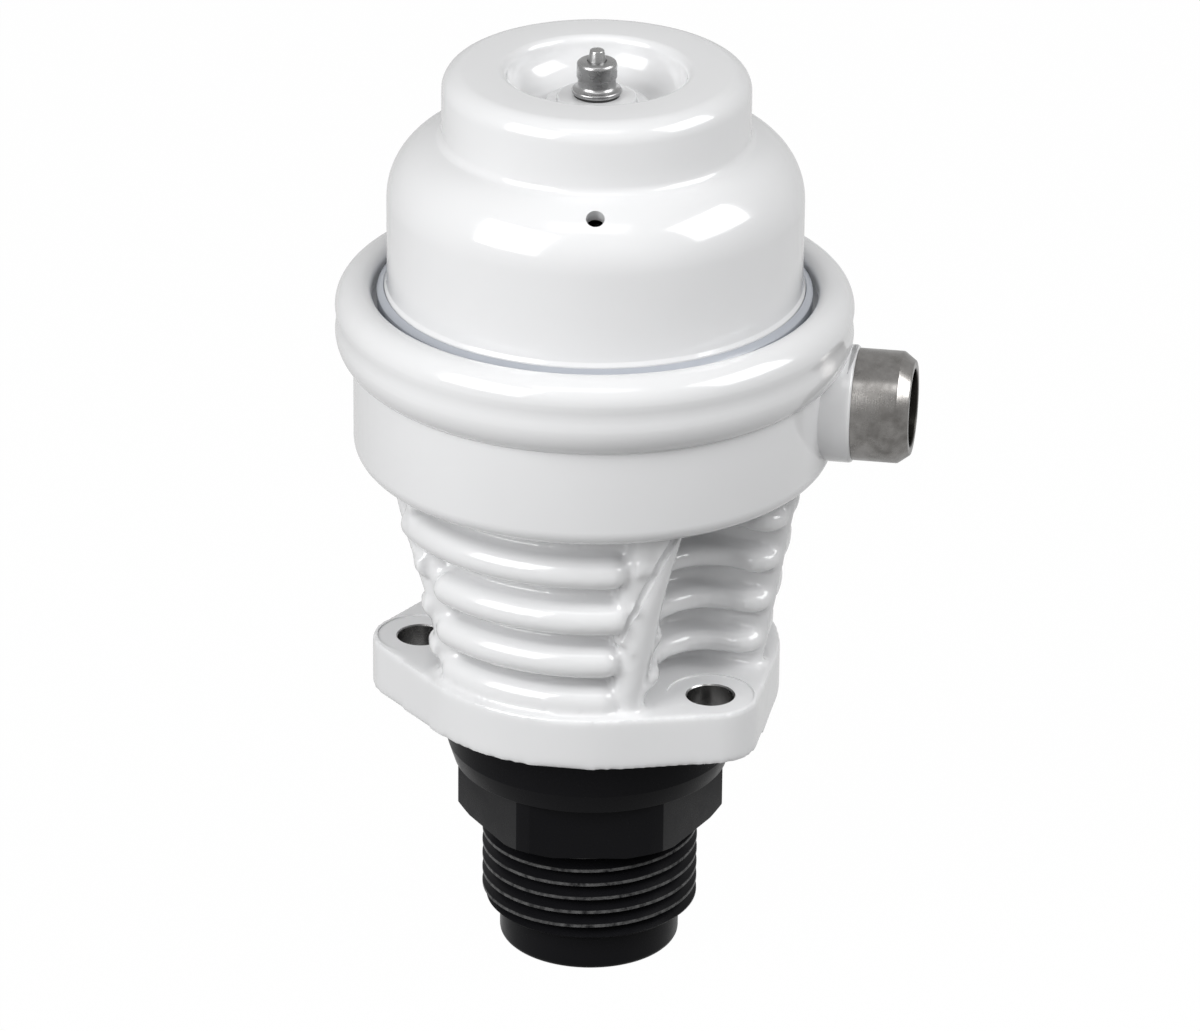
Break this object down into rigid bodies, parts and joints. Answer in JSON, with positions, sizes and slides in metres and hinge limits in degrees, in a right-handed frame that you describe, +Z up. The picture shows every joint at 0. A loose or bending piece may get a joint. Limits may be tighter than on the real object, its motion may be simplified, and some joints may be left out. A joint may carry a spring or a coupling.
{
  "type": "charge air pressure valve",
  "caption": "Spring-loaded diaphragm relief valve with a finned neck, a bolting flange, a threaded inlet adapter below, a side outlet tube and a lift indicator on top.",
  "frame": {"origin": "centre of the flange's underside, on the valve's axis, where the adapter's collar starts", "axes": "+Z up along the valve's axis to the cover and the indicator pin; +X along the outlet tube"},
  "size_m": [0.1102, 0.0982, 0.1851],
  "materials": {
    "white_paint": "gloss white paint on a casting",
    "grey_ring": "smooth grey coated ring",
    "machined_steel": "bare machined steel, faintly mottled",
    "turned_steel": "bright turned steel",
    "plated_steel": "zinc plated steel",
    "spring_steel": "shot-peened spring wire",
    "bronze": "sintered bronze",
    "black_adapter": "black anodised, satin gloss",
    "black_rubber": "matt black rubber",
    "diaphragm_rubber": "fabric-reinforced rubber"
  },
  "bodies": {
    "valve_body": {"housing": "white_paint", "cover": "white_paint", "retaining_ring": "grey_ring", "outlet_tube": "machined_steel", "guide_stub": "turned_steel", "stub_seal": "black_rubber", "inlet_adapter": "black_adapter", "adapter_seal": "black_rubber", "seat_ring": "turned_steel", "stem_guide_bush": "bronze", "stem_seal": "black_rubber", "seal_retainer": "plated_steel", "diaphragm": "diaphragm_rubber", "main_spring": "spring_steel", "upper_spring_seat": "plated_steel", "preload_shim": "plated_steel", "guide_nut": "plated_steel"},
    "lift_group": {"valve_disc": "turned_steel", "disc_seal": "black_rubber", "disc_nut": "plated_steel", "valve_stem": "turned_steel", "lower_diaphragm_plate": "plated_steel", "upper_diaphragm_plate": "plated_steel", "plate_washer": "plated_steel", "stem_nut": "plated_steel", "indicator_pin": "turned_steel"}
  },
  "joints": [
    {"name": "valve_lift", "type": "slide", "parent": "valve_body", "child": "lift_group", "axis": [0, 0, 1], "range_m": [0, 0.005], "stiffness_N_per_m": 12000, "springref_m": -0.01, "deforming": ["main_spring", "diaphragm"]}
  ]
}
